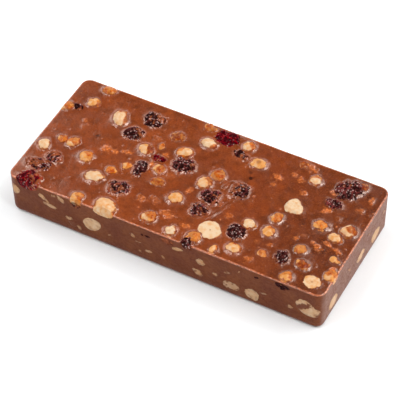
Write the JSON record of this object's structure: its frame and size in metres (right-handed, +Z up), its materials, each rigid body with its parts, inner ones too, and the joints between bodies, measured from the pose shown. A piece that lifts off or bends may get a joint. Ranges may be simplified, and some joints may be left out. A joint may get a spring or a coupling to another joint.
{
  "type": "fruit and nut chocolate bar",
  "caption": "Thick cast milk chocolate slab with hazelnuts, raisins and dried cranberries standing out of its open top and cut flush in its sides.",
  "frame": {"origin": "centre of the bar's footprint, on the flat face it rests on", "axes": "+X along the bar's length, +Y towards its back long side, +Z up through its thickness"},
  "size_m": [0.18, 0.081, 0.0283],
  "materials": {
    "milk_chocolate": "satin",
    "hazelnut": "satin",
    "raisin": "wrinkled satin",
    "cranberry": "gloss"
  },
  "bodies": {
    "root": {"chocolate_slab": "milk_chocolate", "cranberry_01": "cranberry", "cranberry_02": "cranberry", "raisin_01": "raisin", "raisin_02": "raisin", "raisin_03": "raisin", "raisin_04": "raisin", "raisin_05": "raisin", "raisin_06": "raisin", "raisin_07": "raisin", "raisin_08": "raisin", "raisin_09": "raisin", "raisin_10": "raisin", "raisin_11": "raisin", "raisin_12": "raisin", "raisin_13": "raisin", "raisin_14": "raisin", "hazelnut_01": "hazelnut", "hazelnut_02": "hazelnut", "hazelnut_03": "hazelnut", "hazelnut_04": "hazelnut", "hazelnut_05": "hazelnut", "hazelnut_06": "hazelnut", "hazelnut_07": "hazelnut", "hazelnut_08": "hazelnut", "hazelnut_09": "hazelnut", "hazelnut_10": "hazelnut", "hazelnut_11": "hazelnut", "hazelnut_12": "hazelnut", "hazelnut_13": "hazelnut", "hazelnut_14": "hazelnut", "hazelnut_15": "hazelnut", "hazelnut_16": "hazelnut", "hazelnut_17": "hazelnut", "hazelnut_18": "hazelnut", "hazelnut_19": "hazelnut", "hazelnut_20": "hazelnut", "hazelnut_21": "hazelnut", "hazelnut_22": "hazelnut", "hazelnut_23": "hazelnut", "hazelnut_24": "hazelnut", "hazelnut_25": "hazelnut", "hazelnut_26": "hazelnut", "hazelnut_27": "hazelnut", "hazelnut_28": "hazelnut", "hazelnut_29": "hazelnut", "hazelnut_30": "hazelnut", "hazelnut_31": "hazelnut", "hazelnut_32": "hazelnut", "hazelnut_33": "hazelnut", "hazelnut_34": "hazelnut", "hazelnut_35": "hazelnut", "hazelnut_36": "hazelnut", "hazelnut_37": "hazelnut", "hazelnut_38": "hazelnut", "hazelnut_39": "hazelnut", "hazelnut_40": "hazelnut", "hazelnut_41": "hazelnut", "hazelnut_42": "hazelnut", "hazelnut_43": "hazelnut"}
  },
  "joints": []
}
